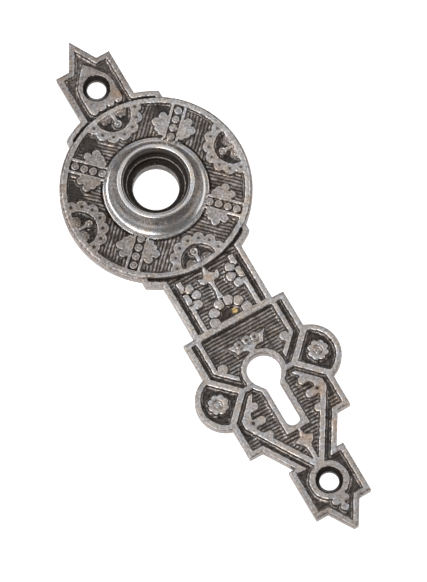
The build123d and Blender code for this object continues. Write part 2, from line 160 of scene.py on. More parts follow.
# Ornament of the neck and of the lock panel
FLOWER = (0, -50.5)
FLOWER_ANGLES = (10, 42, 74, 106, 138, 170)
FLOWER_PETALS = [(6 * cos(radians(a)), FLOWER[1] + 6 * sin(radians(a))) for a in FLOWER_ANGLES]
FLOWER_PETAL = 1.75
FLOWER_EYE = 3.6
SIDE_PETALS = [(7.75, -35.3), (6.55, -38.2), (7.75, -41.1)]
SIDE_PETAL = 1.65
SIDE_EYES = [(9.7, -38.2), (9.7, -33.6)]
SIDE_EYE = (0.95, 1.9)
SIDE_EYE_ENDS = [(9.7, -31.4), (9.7, -35.9), (9.7, -40.5)]
CROWN = [(-2.9, -59.9), (0, -59.6), (2.9, -59.9)]
CROWN_BEAD = 1.65
KNOB = (11.6, -64.4)
KNOB_RADIUS = 1.65
ROSETTE = (18.7, -74)
ROSETTE_CORE = 2.45
ROSETTE_PETALS = 8
ROSETTE_PETAL = 1.05
HEART_LOBES = [(9, -80.3), (9, -85.4), (9.2, -90.9)]
HEART_LOBE = 1.4
HEART_PIT = (12, -85.1)
TREFOIL = [(-1.75, -121.05), (1.75, -121.05), (0, -123.95)]
TREFOIL_LOBE = 1.25
NICK = (-8.7, -104.3)
FORM_MARGIN = 1

# Fine carving: drop of a dome, radius and depth of a dimple, radius, width and depth of a ring,
# length, width and depth of a cleft, and depth, middle and width of a line
BEAD_DROP = 0.16
BEAD_RING = (0.62, 0.2, 0.12)
PETAL_DROP = 0.1
PETAL_CLEFT = (1.6, 0.17, 0.75)
EYE_CLEFT = (1.3, 0.16, 0.6)
EYE_END_CLEFT = (1, 0.17, 0.7)
CROWN_DROP = 0.12
CROWN_DIMPLE = (0.5, 0.2)
CROWN_RING = (1.45, 0.18, 0.25)
KNOB_DROP = 0.08
FAN_DIMPLE = (0.45, 0.2)
ROSETTE_DROP = 0.05
ROSETTE_RINGS = [(1.45, 0.22, 0.3), (0.6, 0.2, 0.3)]
HEART_DIMPLE = (0.55, 0.25)
BUD_RING = (0.65, 0.22, 0.25)
LEAF_DROP = 0.06
NICK_DIMPLE = (0.5, 0.9)
DOME_POWER = 2.5
DOME_MARGINS = (0.2, 0.3)
INNER_LINE = (0.14, 0.6, 0.16)
INNER_LINE_MARGIN = 0.3

# Striations of the ground
HATCH_PITCH = 1.15
HATCH_HEIGHT = 0.32
HATCH_START = (0.3, 0.65)
HATCH_POWER = 0.75
HATCH_WAVE = 0.1
HATCH_EVEN = 0.85
HATCH_UNEVEN = 0.3
HATCH_BLUR = 2
DIRT_FILL = 0.75

# Fields that the striations fill
HATCH_HUB_GAP = 0.8
HATCH_RIM_GAP = 0.9
HATCH_DISC_GAP = 0.3
HATCH_FLOWER_GAP = 1
NECK_FIELD = 9.4
NECK_FIELD_END = -33.2
PANEL_TOP = -52.8
PANEL_LOW = -74
PANEL_FIELD = 13.3
PANEL_SLANT = 3.4
HEART_TOP = -76
HEART_POINT = -106.7
HEART_LOW_SLOPE = 1.63
HEART_FIELD = 11.7
HEART_SHOULDER = (7.4, -76.3)
HEART_HIGH_SLOPE = 0.66
POCKET_X = (13.2, 17)
POCKET_Y = (-94, -89)

# Wear and painted light, from -0.4 for grime and painted shade to 1.4 for bright metal, with strength,
# middle and width of a line
FLAT_EDGE = (-0.14, 0.05)
OPEN_GROUND = (0.3, 0.8)
GROUND_WEAR = 0.03
HATCH_WEAR = 1.3
HATCH_WEAR_POWER = 1.6
HATCH_GRIME = 0.15
SCROLL_WEAR = 0.6
# Lighter line along the foot of the walls: a painted highlight
FOOT_HIGHLIGHT = (0.5, 0.45, 0.18)
# Lighter line along the top edges: edge wear and a painted highlight
EDGE_WEAR_AND_HIGHLIGHT = (0.6, 0.14, 0.12)
CARVING_WEAR = 1.4
# Dark line at the foot of the disc's step: grime and a painted shadow
STEP_GRIME_AND_SHADOW = (0.7, 0.3, 0.2)
MOST_WEAR = 1.3
EDGE_BAND = 0.6
EDGE_GRIME = 0.4
HUB_WEAR = 1.2
HUB_WEAR_EDGE = (0.35, 0.1)
# Countersinks painted dark: painted shade
SCREW_SHADE = -0.4
SCREW_LIP = 0.05
DEPTH_WINDOW = 6
BACK_WEAR = 0.5
HOLLOW_WEAR = 0.3
HOLLOW_SHADE = -0.1

# Tops painted darker on the left of the disc and at both ends and lighter on its right, ground darker on
# the left and lighter at the ends, and what hands have rubbed about the neck
DISC_LEFT_DARKER = 0.3
DISC_SIDE_REACH = 24
TOP_DARKER = 0.35
TOP_DARKER_RANGE = (31, 37)
LOW_DARKER = 0.2
LOW_DARKER_RANGE = (-106, -112)
GROUND_TONE_SHIFT = 0.45
DISC_RIGHT_LIGHTER = 0.12
NECK_RUB = (0.15, -42, 10)

# Polish of the turned hub, the dark socket and everything else
HUB_POLISH = 1
SOCKET_POLISH = -3
PLAIN_POLISH = -1
BRIGHT_WEAR = 0.2

# Points of the mesh: spacings, gaps and the levels that rows of points follow
LOOP_SPACING = 0.55
HOLLOW_SPACING = 2 * LOOP_SPACING
WALL_SPACING = 0.34
ROUND_SPACING = 1.4 * WALL_SPACING
WALL_LEVELS = (-1, -0.72, -0.54, -0.36, -0.2, -0.04, 0.08)
HUB_LEVELS = (-0.1, 0.06, 0.2, 0.36, 0.6)
SCREW_LEVELS = (-0.12, 0, 0.12, 0.32)
ROUND_LEVELS = (0.05, 0.17, 0.38)
HATCH_ACROSS = HATCH_PITCH / 6
HATCH_ALONG = 0.55
HATCH_WAYS = (pi / 4, -pi / 4, 0)
DETAIL_SPACING = 0.32
FLAT_SPACING = 0.65
ROW_SHARE = 0.87
LOOP_GAP = 0.18
WALL_GAP = 0.12
HATCH_GAP = 0.16
DETAIL_GAP = 0.85 * DETAIL_SPACING
FLAT_GAP = 0.6 * FLAT_SPACING
LEAST_HATCH = 0.04
LEAST_CARVING = 0.02
LEAST_STAND = 0.05
LEAST_CURVED = 0.1
CURVED_WINDOW = 2
LEAST_INSET = 0.04
HUB_GAP = 0.15
CELL = 0.05
SPARE_CELLS = 40
CORNER_TURN = radians(14)
SAME_SPACING = 3
EDGE_SEARCH = 0.3
EDGE_GAP = 0.02
EDGE_BELT = 0.35
WHOLE_HULL = 0
SAME_POINT = 1e-5
SHARP_ANGLE = radians(55)

# Points of the back
BACK_SPACING = (4, 3.5)
BACK_EDGE_GAP = 1
BACK_HUB_GAP = 12.5
BACK_LOOP_GAP = 0.8

# Spots of rust, brass and dirt: middle and radius
RUST_SPOTS = [
    (11.5, -85, 4), (16, -90, 4), (12, -99, 4),
    (4.5, 34.5, 3.5), (0.3, -35.5, 1.8), (0.2, -98, 2.5),
]
DIRT_SPOTS = [(-12, 24.5, 4.5), (14.2, 23.2, 4), (-24.2, 12.3, 4)]
BRASS_SPOT = (1.9, -48.7, 0.95)
BRASS_EDGE = (1.15, 0.7)
BRASS_HIGHEST = 0.5

# Colours of the metal, from the grime of the deepest lines to the bare tops
COLOURS = [
    (0, (0.022, 0.017, 0.014)),
    (0.22, (0.066, 0.053, 0.045)),
    (0.5, (0.205, 0.174, 0.157)),
    (0.8, (0.31, 0.288, 0.276)),
    (1, (0.375, 0.353, 0.343)),
    (1.4, (0.52, 0.50, 0.49)),
]
SHADES = [(0.33, (0.55, 0.5, 0.46)), (0.5, (1, 0.98, 0.96)), (0.67, (1.45, 1.5, 1.56))]
TINTS = [(0.36, (0.94, 0.985, 1.05)), (0.5, (1, 1, 1)), (0.64, (1.06, 0.99, 0.90))]
RUST_TINT = (1, 0.80, 0.64)
BRASS = (0.72, 0.50, 0.20)

# Grain of the metal: scale, detail and roughness of each pattern
PATTERNS = {
    "patches": (210, 4, 0.55),
    "grain": (1300, 5, 0.7),
    "specks": (4200, 3, 0.55),
    "blotches": (70, 3, 0.55),
    "pits": (950, 2, 0.55),
    "bright_specks": (1100, 3, 0.55),
    "shades": (1300, 6, 0.72),
    "tints": (300, 4, 0.65),
    "brass": (900, 3, 0.55),
}
PATTERN_MIDDLE = 0.5
PATCH_WEAR = 0.5
GRAIN_WEAR = 0.5
# Painted shade in the hollows and painted light on raised parts, from the depth
DEPTH_SHADING = 0.3
PIT_RANGE = (0.64, 0.73)
PIT_GRIME = 0.4
SPECK_RANGE = (0.55, 0.68)
SPECK_WEAR = 0.2
BLOTCH_RANGE = (0.5, 0.72)
BLOTCH_RUST = 0.35
RUST_RANGE = (0.35, 0.6)
BRASS_RANGE = (0.38, 0.5)

# Gloss of the metal: range that is read, then the values at its two ends
SHADE_SHARE = (0, 1, 1, 0.12)
METAL_SHARE = (0.05, 0.8, 0.35, 0.9)
ROUGHNESS = (0, 1, 0.16, 0.36)
POLISH_ROUGHNESS = 0.09
GRAIN_ROUGHNESS = 0.3
SOCKET_GLOSS = (-3, -1, 0.3, 0.85)
GRIME_GLOSS = (0, 0.35, 0.55, 1)
BUMP_STRENGTH = (0, 1, 0.5, 0.04)
BUMP_HEIGHT = 0.16
GRAIN_BUMP = 0.7
SPECK_BUMP = 0.3

# White table
TABLE_HALF = 3
TABLE_DROP = 0.05
TABLE_COLOUR = (0.8, 0.8, 0.8)
TABLE_GLOW = 0.85

# Soft lamps: direction from the plate, distance and size in metres, power in watts and colour
WHITE = (1, 1, 1)
COOL = (0.95, 0.97, 1)
COOLER = (0.92, 0.96, 1)
LAMPS = {
    "top_box": ((0.1, 0.2, 1), 1.6, (1.12, 1.12), 4.2, WHITE),
    "high_box": ((-0.78, -0.62, 1.28), 1.6, (0.56, 0.56), 3.8, WHITE),
    "key_box": ((-0.848, -0.530, 0.8), 1.5, (1.1, 0.7), 12.5, COOL),
    "left_box": ((-0.857, 0.515, 0.72), 1.5, (1.6, 0.6), 14.5, COOL),
    "right_box": ((0.95, -0.3, 0.6), 1.5, (1.4, 0.9), 9, COOLER),
    "back_box": ((0.6, 0.8, 0.6), 1.6, (1.5, 0.7), 4, COOLER),
}
WORLD_STRENGTH = 0.18

# Camera, in the photograph's frame
AZIMUTH = radians(-29.722)
ELEVATION = radians(73.709)
TARGET = (-1.132, -40.064, 4.5)
DISTANCE = 2000
LENS = 379.261
SENSOR = 36
CLIP_START = 0.1
CLIP_END = 20


def cad_triangles(node):
    """Corners in millimetres, each once, and triangles of the solid."""
    mesh = node.data
    mesh.calc_loop_triangles()
    found = np.array([corner.co[:] for corner in mesh.vertices])
    numbers = np.array([triangle.vertices[:] for triangle in mesh.loop_triangles])
    found, same = np.unique(np.round(found / MM, 3), axis=0, return_inverse=True)
    return found, same.reshape(-1)[numbers]


places, triangles = cad_triangles(frame["nodes"][NODE])
low_corner = places.min(0)
high_corner = places.max(0)
left = -np.ceil((high_corner[0] + MARGIN) / STEP) * STEP
below = np.floor((low_corner[1] - MARGIN) / STEP) * STEP
columns = int(round(-2 * left / STEP)) + 1
rows = int(round((high_corner[1] + MARGIN - below) / STEP)) + 1
X, Y = np.meshgrid(left + STEP * np.arange(columns), below + STEP * np.arange(rows))
R = np.hypot(X, Y)
across_x = np.abs(X)


def highest_surface():
    """Height of the solid's top at each sample, or EMPTY."""
    heights = np.full(X.shape, EMPTY)
    origin = np.array((left, below))
    for corner in places[triangles]:
        a, b, c = corner
        area = (b[0] - a[0]) * (c[1] - a[1]) - (b[1] - a[1]) * (c[0] - a[0])
        if area < LEAST_AREA:
            continue
        first, bottom = np.ceil((corner.min(0)[:2] - origin) / STEP - EDGE_TOLERANCE).astype(int)
        last, top = np.floor((corner.max(0)[:2] - origin) / STEP + EDGE_TOLERANCE).astype(int) + 1
        window = np.s_[bottom:top, first:last]
        x = X[window]
        y = Y[window]
        share_b = ((x - a[0]) * (c[1] - a[1]) - (y - a[1]) * (c[0] - a[0])) / area
        share_c = ((b[0] - a[0]) * (y - a[1]) - (b[1] - a[1]) * (x - a[0])) / area
        covers = (share_b >= -EDGE_TOLERANCE) & (share_c >= -EDGE_TOLERANCE)
        covers &= share_b + share_c <= 1 + EDGE_TOLERANCE
        height = a[2] + share_b * (b[2] - a[2]) + share_c * (c[2] - a[2])
        heights[window] = np.where(covers, np.maximum(heights[window], height), heights[window])
    return heights


def blur(field, passes):
    """Field softened a little, so many times."""
    for _ in range(passes):
        for axis in (0, 1):
            field = (np.roll(field, 1, axis) + 2 * field + np.roll(field, -1, axis)) / 4
    return field


def wide_blur(field, half):
    """Field averaged over a square window, down and across, twice."""
    size = 2 * half + 1
    for _ in range(4):
        total = np.cumsum(np.pad(field, ((half + 1, half), (0, 0)), mode="edge"), axis=0)
        field = ((total[size:] - total[:-size]) / size).T
    return field


def distance_to(mask, reach):
    """Distance to the mask, in samples, up to the reach."""
    index = np.arange(columns)
    before = np.maximum.accumulate(np.where(mask, index, -reach), axis=1)
    after = np.minimum.accumulate(np.where(mask, index, columns + reach)[:, ::-1], axis=1)[:, ::-1]
    along = np.minimum(np.minimum(index - before, after - index), reach).astype(float) ** 2
    best = along.copy()
    for shift in range(1, reach + 1):
        best[shift:] = np.minimum(best[shift:], along[:-shift] + shift**2)
        best[:-shift] = np.minimum(best[:-shift], along[shift:] + shift**2)
    return np.sqrt(best)


def signed_distance(mask):
    """Distance into the mask in millimetres, negative outside it."""
    inside = distance_to(~mask, DISTANCE_REACH)
    outside = distance_to(mask, DISTANCE_REACH)
    return blur(np.where(mask, inside - 0.5, 0.5 - outside) * STEP, DISTANCE_BLUR)


def fade(low, high, value):
    """0 at low, 1 at high, and a smooth change between."""
    share = np.clip((value - low) / (high - low), 0, 1)
    return share * share * (3 - 2 * share)


def bell(value, height, middle, width):
    """Full height at the middle, and a soft fall to both sides."""
    return height * np.exp(-(((value - middle) / width) ** 2))


def between(field, i, j, down, across):
    """Field read some way from rows i and columns j to the next ones."""
    lower = field[i, j] * (1 - across) + field[i, j + 1] * across
    upper = field[i + 1, j] * (1 - across) + field[i + 1, j + 1] * across
    return lower * (1 - down) + upper * down


def cast_noise(name):
    """Soft random field from -1 to 1."""
    scale, seed = CAST_NOISES[name]
    source = np.random.default_rng(seed)
    shape = (int(rows * STEP / scale) + 3, int(columns * STEP / scale) + 3)
    values = source.uniform(-1, 1, shape)
    v = np.arange(rows)[:, None] * STEP / scale
    u = np.arange(columns) * STEP / scale
    i = v.astype(int)
    j = u.astype(int)
    return between(values, i, j, fade(0, 1, v - i), fade(0, 1, u - j))


def sample(field, points):
    """Field read at points between its samples."""
    u = np.clip((points[:, 0] - left) / STEP, 0, columns - LAST_CELL)
    v = np.clip((points[:, 1] - below) / STEP, 0, rows - LAST_CELL)
    i = v.astype(int)
    j = u.astype(int)
    return between(field, i, j, v - i, u - j)


def turned(points, angles):
    """Points turned about the spindle axis by each angle."""
    found = []
    for angle in angles:
        c = cos(radians(angle))
        s = sin(radians(angle))
        for point in points:
            found.append((point[0] * c - point[1] * s, point[0] * s + point[1] * c, *point[2:]))
    return found


def both_sides(points):
    """Points and their mirror images."""
    return [(side * point[0], *point[1:]) for point in points for side in (1, -1)]


def spots(round_spots, x, y):
    """Soft share of the nearest round spot."""
    share = np.zeros(x.shape)
    for spot_x, spot_y, radius in round_spots:
        share = np.maximum(share, np.exp(-((x - spot_x) ** 2 + (y - spot_y) ** 2) / radius**2))
    return share


def window_at(place, reach):
    """Part of the maps near a place, and the distance from it there."""
    j = int((place[0] - reach - left) / STEP)
    i = int((place[1] - reach - below) / STEP)
    size = int(2 * reach / STEP) + 3
    window = np.s_[max(i, 0):i + size, max(j, 0):j + size]
    return window, np.hypot(X[window] - place[0], Y[window] - place[1])


# Levels of the casting, read from the solid
solid_top = highest_surface()
covered = solid_top > EMPTY / 2
levels, counts = np.unique(np.round(solid_top[covered], 2), return_counts=True)
plate_ground, disc_ground, plate_top, disc_top = sorted(levels[np.argsort(counts)[-MAIN_LEVELS:]])
relief = plate_top - plate_ground
hub_top = high_corner[2]
hollow_depth = round(float(places[places[:, 2] > LEAST_HEIGHT][:, 2].min()), 3)

# Holes, read from the record
mounts = {mount["name"]: mount for mount in frame["record"]["mounts"]}
bore_radius = mounts["spindle_bore"]["dims"]["r_mm"]
screw_radius = mounts["screw_holes"]["dims"]["hole_r_mm"]
screw_spacing = mounts["screw_holes"]["dims"]["spacing_y_mm"]
screw_middle = mounts["screw_holes"]["pos_m"][1] / MM
screw_reach = [np.hypot(X, Y - (screw_middle + side * screw_spacing / 2)) for side in (1, -1)]
screw_away = np.minimum(*screw_reach)

# Places of the ornament that repeats
fan_lobes = turned(FAN_LOBES, QUARTERS)
fan_scrolls = turned(FAN_SCROLLS, QUARTERS)
fan_buds = turned([FAN_BUD], QUARTERS)
beads = turned(BEADS, DIAGONALS)
leaf_lobes = turned(both_sides(LEAF_LOBES), DIAGONALS)
side_petals = both_sides(SIDE_PETALS)
heart_lobes = both_sides(HEART_LOBES)
knobs = both_sides([KNOB])
rosettes = both_sides([ROSETTE])
petal_turns = [2 * pi * k / ROSETTE_PETALS for k in range(ROSETTE_PETALS)]
petal_offsets = [(ROSETTE_CORE * cos(t), ROSETTE_CORE * sin(t)) for t in petal_turns]
rosette_petals = [(x + dx, y + dy) for x, y in rosettes for dx, dy in petal_offsets]
moon_away = np.full(X.shape, np.inf)
for x, y in turned([(0.0, FAN_Y)], QUARTERS):
    moon_away = np.minimum(moon_away, np.hypot(X - x, Y - y) - HALF_MOON)

# Distance into the plate and into the relief, with its small forms truly round
on_disc = R < DISC_RISE
raised = solid_top > np.where(on_disc, disc_top, plate_top) - relief / 2
raised |= ~covered | (screw_away < SCREW_HEAD + SCREW_BOSS)
raised &= R > HUB_EDGE
plate_in = signed_distance(covered)
relief_in = signed_distance(raised)
round_forms = [(fan_lobes, FAN_LOBE), (fan_buds, FAN_BUD_RADIUS), (beads, BEAD)]
round_forms += [(rosette_petals, ROSETTE_PETAL), (FLOWER_PETALS, FLOWER_PETAL), (side_petals, SIDE_PETAL)]
round_forms += [(heart_lobes, HEART_LOBE), (knobs, KNOB_RADIUS)]
round_forms += [(CROWN, CROWN_BEAD), (TREFOIL, TREFOIL_LOBE)]
round_forms += [([(x, y)], radius) for x, y, radius in leaf_lobes]
for centres, radius in round_forms:
    for centre in centres:
        window, away = window_at(centre, radius + FORM_MARGIN)
        reach = radius - away
        if centres is fan_lobes:
            reach = np.minimum(reach, moon_away[window])
        relief_in[window] = np.maximum(relief_in[window], reach)
for x, y in both_sides(SIDE_EYES):
    window, away = window_at((x, y), SIDE_EYE[1] + FORM_MARGIN)
    share = np.hypot((X[window] - x) / SIDE_EYE[0], (Y[window] - y) / SIDE_EYE[1])
    relief_in[window] = np.maximum(relief_in[window], (1 - share) * SIDE_EYE[0])
relief_in += EDGE_WAVE * cast_noise("edge_wave") + EDGE_RIPPLE * cast_noise("edge_ripple")


def hatch_fields():
    """Fields of striations on disc and plate."""
    disc = (R > HUB_FOOT + HATCH_HUB_GAP) & (R < DISC_FIELD - HATCH_RIM_GAP)
    disc &= moon_away >= HALF_MOON_MARGIN
    neck = (R > DISC_RISE + HATCH_DISC_GAP) & (Y > FLOWER[1]) & (Y < 0)
    neck &= (across_x < NECK_FIELD) | (Y > NECK_FIELD_END)
    neck &= np.hypot(X - FLOWER[0], Y - FLOWER[1]) > FLOWER_EYE + HATCH_FLOWER_GAP
    panel = (Y < PANEL_TOP) & (Y > PANEL_LOW) & (across_x < PANEL_FIELD)
    panel &= Y - PANEL_LOW > across_x - PANEL_SLANT
    heart = (Y < HEART_TOP) & (Y > HEART_POINT + HEART_LOW_SLOPE * across_x) & (across_x < HEART_FIELD)
    heart &= across_x < HEART_SHOULDER[0] + HEART_HIGH_SLOPE * (HEART_SHOULDER[1] - Y)
    pocket = (Y < POCKET_Y[1]) & (Y > POCKET_Y[0]) & (across_x > POCKET_X[0]) & (across_x < POCKET_X[1])
    return disc, neck | panel | heart | pocket


# Striations: along the diagonals on the disc, across the plate elsewhere
disc_hatch, plate_hatch = hatch_fields()
hatch_phase = np.where(disc_hatch, (across_x - np.abs(Y)) / sqrt(2), Y) / HATCH_PITCH
hatch_phase += HATCH_WAVE * cast_noise("hatch_wave")
hatch_zone = (disc_hatch | plate_hatch) & covered
hatched = blur(hatch_zone.astype(float), HATCH_BLUR)
hatched *= fade(*HATCH_START, -relief_in)
hatch_ridge = (0.5 + 0.5 * np.cos(2 * pi * hatch_phase)) ** HATCH_POWER
hatch_ridge *= HATCH_EVEN + HATCH_UNEVEN * cast_noise("hatch_height")
hatch_ridge *= 1 - DIRT_FILL * spots(DIRT_SPOTS, X, Y)


def wall_section(away):
    """Height of the relief's wall at a distance out from its edge."""
    bend = WALL_SHARE * relief
    tilt = np.tan(FOOT_SLOPE)
    steep = relief - (relief - bend) * away / WALL_REACH
    slope = bend - tilt * (away - WALL_REACH)
    foot_start = WALL_REACH + (bend - FOOT_ROUND) / tilt
    foot_reach = 2 * FOOT_ROUND / tilt
    foot = FOOT_ROUND * np.clip(1 - (away - foot_start) / foot_reach, 0, 1) ** 2
    return np.where(away < WALL_REACH, steep, np.where(away < foot_start, slope, foot))


# Share of the relief that stands, from 0 on the ground to 1 on the tops
openness = fade(*OPEN_SHARES, wide_blur((relief_in < 0).astype(float), OPEN_WINDOW))
foot_size = FOOT_TIGHT + (1 - FOOT_TIGHT) * openness
wall_away = np.maximum(-relief_in, 0) / foot_size
stands = blur(wall_section(wall_away) / relief, 1)

# Fine carving on the tops, and the painted shade in its dimples
carving = np.zeros(X.shape)
dimple_shade = np.zeros(X.shape)


def dome(centres, radius, drop):
    """Tops that fall away towards their edges."""
    for centre in centres:
        window, away = window_at(centre, radius + DOME_MARGINS[1])
        share = np.clip(away / radius, 0, 1)
        fall = drop * share**DOME_POWER * (away < radius + DOME_MARGINS[0])
        carving[window] = np.minimum(carving[window], -fall)


def dimple(centres, radius, depth):
    """Small round hollows, with painted shade in them."""
    for centre in centres:
        window, away = window_at(centre, 3 * radius)
        share = bell(away, 1, 0, radius)
        carving[window] -= depth * share
        # Painted shade in the hollow
        dimple_shade[window] = np.maximum(dimple_shade[window], share)


def groove(centres, radius, width, depth):
    """Round grooves about each centre."""
    for centre in centres:
        window, away = window_at(centre, radius + 3 * width)
        carving[window] -= bell(away, depth, radius, width)


def cleft(first, second, length, width, depth):
    """Straight groove between two neighbours."""
    middle = ((first[0] + second[0]) / 2, (first[1] + second[1]) / 2)
    way = np.subtract(second, first) / np.hypot(*np.subtract(second, first))
    window, away = window_at(middle, length)
    off = (X[window] - middle[0]) * way[0] + (Y[window] - middle[1]) * way[1]
    carving[window] -= bell(off, depth, 0, width) * (away < length)


def carve_disc():
    """Ringed beads, pierced fan lobes, ringed buds and soft leaves."""
    dome(beads, BEAD, BEAD_DROP)
    groove(beads, *BEAD_RING)
    dimple(fan_lobes, *FAN_DIMPLE)
    groove(fan_buds, *BUD_RING)
    for x, y, radius in leaf_lobes:
        dome([(x, y)], radius, LEAF_DROP)


def carve_neck():
    """Petals of the flower and of the side sprays, parted by clefts."""
    dome(FLOWER_PETALS, FLOWER_PETAL, PETAL_DROP)
    dome(side_petals, SIDE_PETAL, PETAL_DROP)
    for first, second in zip(FLOWER_PETALS, FLOWER_PETALS[1:]):
        cleft(first, second, *PETAL_CLEFT)
    upper, _, lower = SIDE_PETALS
    low_eye, high_eye = SIDE_EYES
    for side in (1, -1):
        mirror = np.array((side, 1))
        for first, second in zip(SIDE_PETALS, SIDE_PETALS[1:]):
            cleft(first * mirror, second * mirror, *PETAL_CLEFT)
        for petal, eye in ((upper, high_eye), (upper, low_eye), (lower, low_eye)):
            cleft(petal * mirror, eye * mirror, *EYE_CLEFT)
        for x, y in SIDE_EYE_ENDS:
            cleft((side * x, y - 1), (side * x, y + 1), *EYE_END_CLEFT)


def carve_panel():
    """Crown, knobs, rosettes, the heart's pits and the nick in the lower border."""
    dome(CROWN, CROWN_BEAD, CROWN_DROP)
    dimple(CROWN, *CROWN_DIMPLE)
    groove(CROWN, *CROWN_RING)
    dome(knobs, KNOB_RADIUS, KNOB_DROP)
    dome(rosette_petals, ROSETTE_PETAL, ROSETTE_DROP)
    for ring in ROSETTE_RINGS:
        groove(rosettes, *ring)
    dimple(both_sides([HEART_PIT]), *HEART_DIMPLE)
    dimple([NICK], *NICK_DIMPLE)


carve_disc()
carve_neck()
carve_panel()
carving -= bell(relief_in, *INNER_LINE) * (R < DISC_FIELD - INNER_LINE_MARGIN)


def fan_humps():
    """Low curled scrolls in the half-moons."""
    humps = np.zeros(X.shape)
    for centre in fan_scrolls:
        window, away = window_at(centre, FAN_SCROLL + FORM_MARGIN)
        hump = fade(*FAN_SCROLL_EDGE, FAN_SCROLL - away) - bell(away, *CURL)
        humps[window] = np.maximum(humps[window], hump)
    return np.clip(humps, 0, 1) * (1 - stands)


def cove_height(radius):
    """Height of the hollow foot of the hub."""
    share = np.clip((HUB_FOOT - radius) / (HUB_FOOT - HUB_RIM), 0, 1)
    return HUB_RIM_BASE - (HUB_RIM_BASE - HUB_FOOT_TOP) * np.sqrt(1 - share**2)


# Height of the front: ground, relief, carving and striations
disc_share = fade(*DISC_STEP, DISC_RISE - R)
lumps = BROAD_LUMPS * cast_noise("broad_lumps")
lumps += (FINE_LUMPS + DISC_LUMPS * disc_share) * cast_noise("fine_lumps")
plate_height = plate_ground + relief * stands
disc_height = disc_ground + relief * stands
front = plate_height + (disc_height - plate_height) * disc_share
rough = ROUGH_GROUND * cast_noise("rough_ground") * (1 - hatched)
rough *= fade(*ROUGH_START, -relief_in)
front += stands * carving + HATCH_HEIGHT * (hatched * hatch_ridge) + lumps + rough
humps = fan_humps()
front += FAN_SCROLL_SHARE * relief * humps

# Foot of the hub with its lip, the countersinks and the round edges of the plate
lip_share = fade(*HUB_LIP, R - HUB_FOOT)
hub_height = cove_height(R) - np.tan(HUB_LIP_SLOPE) * np.maximum(R - HUB_FOOT, 0)
front -= bell(R - HUB_FOOT, *HUB_GROOVE) * (1 - stands)
front = np.where(front < hub_height, hub_height + (front - hub_height) * lip_share, front)
front = np.where(R < HUB_EDGE, hub_height, front)
for away in screw_reach:
    sink = plate_top - (SCREW_HEAD - away) / np.tan(SCREW_SLOPE)
    front = np.where(away < SCREW_HEAD + SCREW_MARGIN, np.minimum(front, sink), front)
by_keyhole = (across_x < KEYHOLE_REACH[0]) & (np.abs(Y - KEYHOLE_MIDDLE) < KEYHOLE_REACH[1])
edge_round = np.where(by_keyhole, HOLE_ROUND, OUTLINE_ROUND)
edge_in = np.clip(plate_in, 0, edge_round)
edge_fall = edge_round - np.sqrt(edge_round**2 - (edge_round - edge_in) ** 2)
front -= np.where((screw_away > SCREW_HEAD + SCREW_MARGIN) & (R > HUB_EDGE), edge_fall, 0)

# Wear of the tops and of the ground, with painted highlights along the walls' feet and top edges, grime and
# painted shadow at the foot of the disc's step, and painted shade in the dimples
flat_share = fade(*FLAT_EDGE, relief_in)
ground_wear_and_highlight = GROUND_WEAR + hatched * (HATCH_WEAR * hatch_ridge**HATCH_WEAR_POWER - HATCH_GRIME)
ground_wear_and_highlight = fade(*OPEN_GROUND, -relief_in) * ground_wear_and_highlight + SCROLL_WEAR * humps
# Painted highlight along the foot of the walls
ground_wear_and_highlight += bell(wall_away, *FOOT_HIGHLIGHT) * (1 - hatched)
# Edge wear and painted highlight along the top edges
edge_wear_and_highlight = bell(relief_in, *EDGE_WEAR_AND_HIGHLIGHT)
wear_and_painted_light = flat_share * (1 + CARVING_WEAR * carving + edge_wear_and_highlight) + (1 - flat_share) * ground_wear_and_highlight
# Grime and painted shadow at the foot of the disc's step, and painted shade in the dimples
wear_and_painted_light -= bell(R - DISC_RISE, *STEP_GRIME_AND_SHADOW) * (Y > -DISC_RISE) + dimple_shade
edge_share = fade(EDGE_BAND, 0.0, plate_in)
wear_and_painted_light = np.clip(wear_and_painted_light, 0, MOST_WEAR) * (1 - EDGE_GRIME * edge_share)

# Tops darker on the left of the disc and at the ends and lighter on its right, rubbing about the neck, the
# bright hub and painted shade in the countersinks
disc_left_darker = DISC_LEFT_DARKER * fade(0, -DISC_SIDE_REACH, X) * disc_share
ends_darker = TOP_DARKER * fade(*TOP_DARKER_RANGE, Y) + LOW_DARKER * fade(*LOW_DARKER_RANGE, Y)
lighter_tops = DISC_RIGHT_LIGHTER * fade(0, DISC_SIDE_REACH, X) * disc_share + bell(Y, *NECK_RUB)
flat_tone_shift = flat_share * (disc_left_darker + ends_darker - lighter_tops)
wear_and_painted_light -= flat_tone_shift + GROUND_TONE_SHIFT * (1 - flat_share) * (disc_left_darker - ends_darker)
hub_share = fade(*HUB_WEAR_EDGE, R - HUB_FOOT)
wear_and_painted_light += (HUB_WEAR - wear_and_painted_light) * hub_share
# Painted shade in the countersinks
wear_and_painted_light = np.where(screw_away < SCREW_HEAD - SCREW_LIP, SCREW_SHADE, wear_and_painted_light)
# Height against the surroundings, which the material turns into painted shade in hollows and painted light
# on raised parts
depth = front - wide_blur(np.where(covered, front, plate_top), DEPTH_WINDOW)
polish = HUB_POLISH * hub_share - edge_share


def boundary_loops():
    """Closed edges of the flat underside."""
    flat = triangles[(np.abs(places[triangles][:, :, 2]) < LEVEL_TOLERANCE).all(1)]
    directed = set()
    for a, b, c in flat.tolist():
        directed |= {(a, b), (b, c), (c, a)}
    following = {a: b for a, b in directed if (b, a) not in directed}
    loops = []
    while following:
        start, here = following.popitem()
        loop = [start]
        while here != start:
            loop.append(here)
            here = following.pop(here)
        loops.append(places[loop][:, :2])
    return loops


